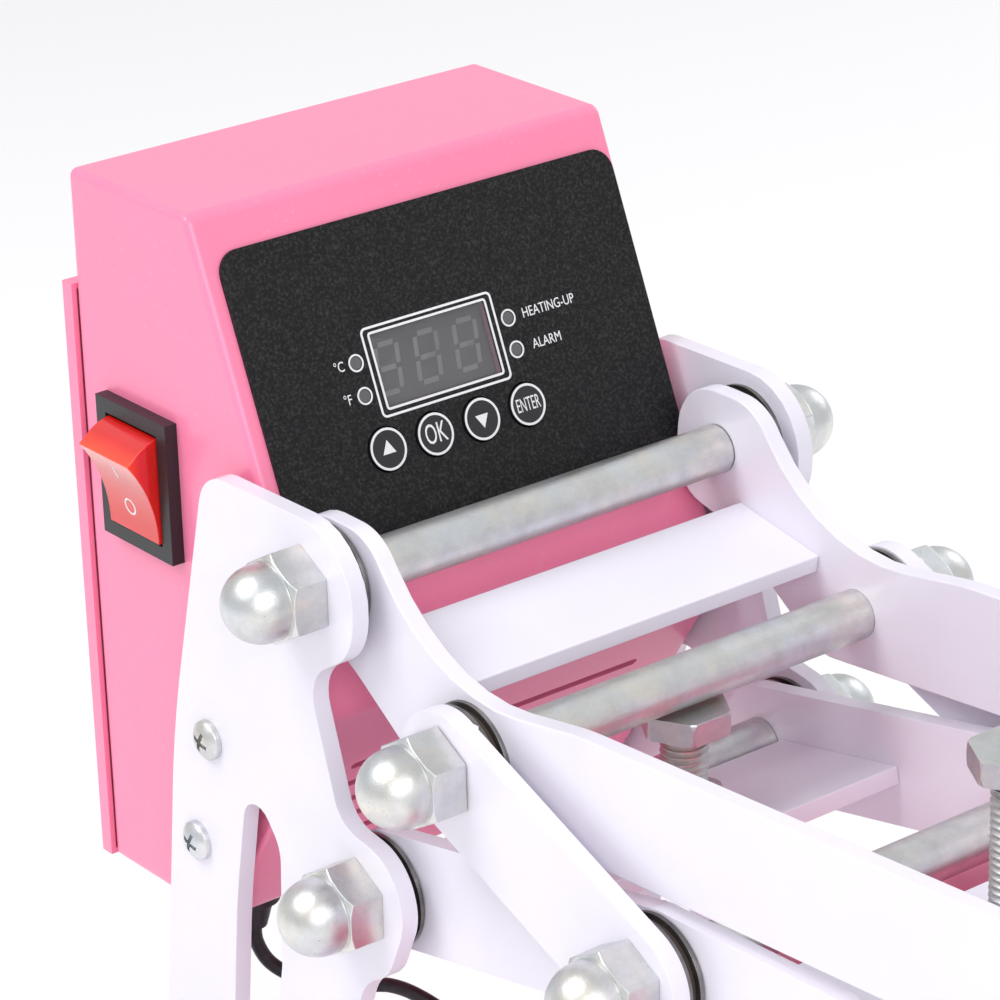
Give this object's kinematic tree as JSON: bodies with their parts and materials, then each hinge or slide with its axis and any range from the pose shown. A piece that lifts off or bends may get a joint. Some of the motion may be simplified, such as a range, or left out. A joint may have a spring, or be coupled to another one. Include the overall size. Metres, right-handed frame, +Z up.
{
  "type": "mug heat press",
  "caption": "Clamshell mug heat press: pink control box, white side plates, a toggle linkage with cap nuts, and heater jaws on a base.",
  "frame": {"origin": "centre of the footprint, on the table under the rubber feet", "axes": "+X to the right across the press, +Y to the back, away from the handle, +Z up"},
  "size_m": [0.1566, 0.3378, 0.2705],
  "materials": {
    "pink_shell": "powder-coated pink, satin",
    "white_plate": "powder-coated white, satin",
    "zinc": "bright zinc plate",
    "bearing_steel": "ground steel",
    "bearing_cage": "moulded, matt",
    "aluminium": "cast, machined",
    "black_plastic": "moulded, fine texture",
    "panel_film": "printed film with a fine fleck",
    "window": "smoked, clear",
    "digits": "unlit",
    "lamp_lens": "clear lens, unlit",
    "circuit_board": "solder mask",
    "module_case": "moulded",
    "red_rocker": "translucent red",
    "grip_rubber": "ribbed, matt",
    "silicone": "silicone sheet, matt",
    "foot_rubber": "matt",
    "lead_sleeve": "smooth sleeve, matt"
  },
  "bodies": {
    "frame": {"control_box_shell": "pink_shell", "back_cover": "pink_shell", "back_cover_screws": "zinc", "power_inlet": "black_plastic", "front_panel": "panel_film", "display_window": "window", "display_digits": "digits", "indicator_lamps": "lamp_lens", "control_board": "circuit_board", "relay_module": "module_case", "switch_bezel": "black_plastic", "side_plate_left": "white_plate", "side_plate_right": "white_plate", "side_screws": "zinc", "side_spacers": "zinc", "upper_pivot_rod": "zinc", "lower_pivot_rod": "zinc", "pivot_cap_nuts": "zinc", "pivot_races": "bearing_steel", "pivot_cages": "bearing_cage", "lower_jaw_cover": "pink_shell", "heating_mat": "silicone", "base_plate": "white_plate", "base_screws": "zinc", "rubber_feet": "foot_rubber", "lead_glands": "black_plastic", "heater_lead": "lead_sleeve"},
    "handle": {"handle_arm_left": "white_plate", "handle_arm_right": "white_plate", "handle_cross_plate": "white_plate", "link_rod": "zinc", "link_rod_cap_nuts": "zinc", "link_rod_races": "bearing_steel", "link_rod_cages": "bearing_cage", "handle_bar": "zinc", "handle_grip": "grip_rubber", "handle_screws": "zinc"},
    "links": {"toggle_link_left": "white_plate", "toggle_link_right": "white_plate", "link_end_studs": "zinc", "link_end_cap_nuts": "zinc", "link_end_races": "bearing_steel", "link_end_cages": "bearing_cage"},
    "pressure_arms": {"pressure_arm_left": "white_plate", "pressure_arm_right": "white_plate", "pressure_cross_plate": "white_plate", "jaw_cross_plate": "white_plate", "carrier_rod": "zinc", "lock_nuts": "zinc"},
    "stop_screw": {"stop_bolt": "zinc"},
    "upper_jaw": {"upper_jaw_cover": "pink_shell", "upper_jaw_block": "aluminium", "pressure_pad": "silicone"},
    "pressure_screw": {"pressure_bolt": "zinc"},
    "rocker": {"switch_rocker": "red_rocker"},
    "key_up": {"up_button": "black_plastic"},
    "key_ok": {"ok_button": "black_plastic"},
    "key_down": {"down_button": "black_plastic"},
    "key_enter": {"enter_button": "black_plastic"}
  },
  "joints": [
    {"name": "handle_lift", "type": "hinge", "parent": "frame", "child": "handle", "pos_m": [0, 0.07665, 0.2062], "axis": [-1, 0, 0], "range_deg": [0, 80]},
    {"name": "pressure_arm_lift", "type": "hinge", "parent": "frame", "child": "pressure_arms", "pos_m": [0, 0.06285, 0.1429], "axis": [-1, 0, 0], "range_deg": [0, 34]},
    {"name": "link_turn", "type": "hinge", "parent": "handle", "child": "links", "pos_m": [0, 0.03385, 0.1825], "axis": [-1, 0, 0], "range_deg": [-101, 0]},
    {"name": "jaw_height", "type": "slide", "parent": "pressure_arms", "child": "upper_jaw", "axis": [0, 0, 1], "range_m": [-0.0015, 0.002]},
    {"name": "pressure_screw_turn", "type": "hinge", "parent": "upper_jaw", "child": "pressure_screw", "pos_m": [0.002, -0.05785, 0.172], "axis": [0, 0, 1], "range_deg": [-365, 485]},
    {"name": "stop_screw_turn", "type": "hinge", "parent": "pressure_arms", "child": "stop_screw", "pos_m": [0.002, 0.03465, 0.1766], "axis": [0, -0.0349, 0.9994], "continuous": true},
    {"name": "rocker_tilt", "type": "hinge", "parent": "frame", "child": "rocker", "pos_m": [-0.054, 0.14055, 0.20865], "axis": [0, 1, 0], "range_deg": [0, 38]},
    {"name": "press_up", "type": "slide", "parent": "frame", "child": "key_up", "axis": [0, 0.9243, -0.3818], "range_m": [0, 0.0008], "stiffness_N_per_m": 1500, "springref_m": -0.0004},
    {"name": "press_ok", "type": "slide", "parent": "frame", "child": "key_ok", "axis": [0, 0.9243, -0.3818], "range_m": [0, 0.0008], "stiffness_N_per_m": 1500, "springref_m": -0.0004},
    {"name": "press_down", "type": "slide", "parent": "frame", "child": "key_down", "axis": [0, 0.9243, -0.3818], "range_m": [0, 0.0008], "stiffness_N_per_m": 1500, "springref_m": -0.0004},
    {"name": "press_enter", "type": "slide", "parent": "frame", "child": "key_enter", "axis": [0, 0.9243, -0.3818], "range_m": [0, 0.0008], "stiffness_N_per_m": 1500, "springref_m": -0.0004}
  ],
  "couplings": [
    {"joint": "pressure_arm_lift", "follows": "handle_lift", "ratio": 0.4201},
    {"joint": "link_turn", "follows": "handle_lift", "ratio": -1.2557},
    {"joint": "pressure_screw_turn", "follows": "jaw_height", "rad_per_m": 4188.8}
  ]
}
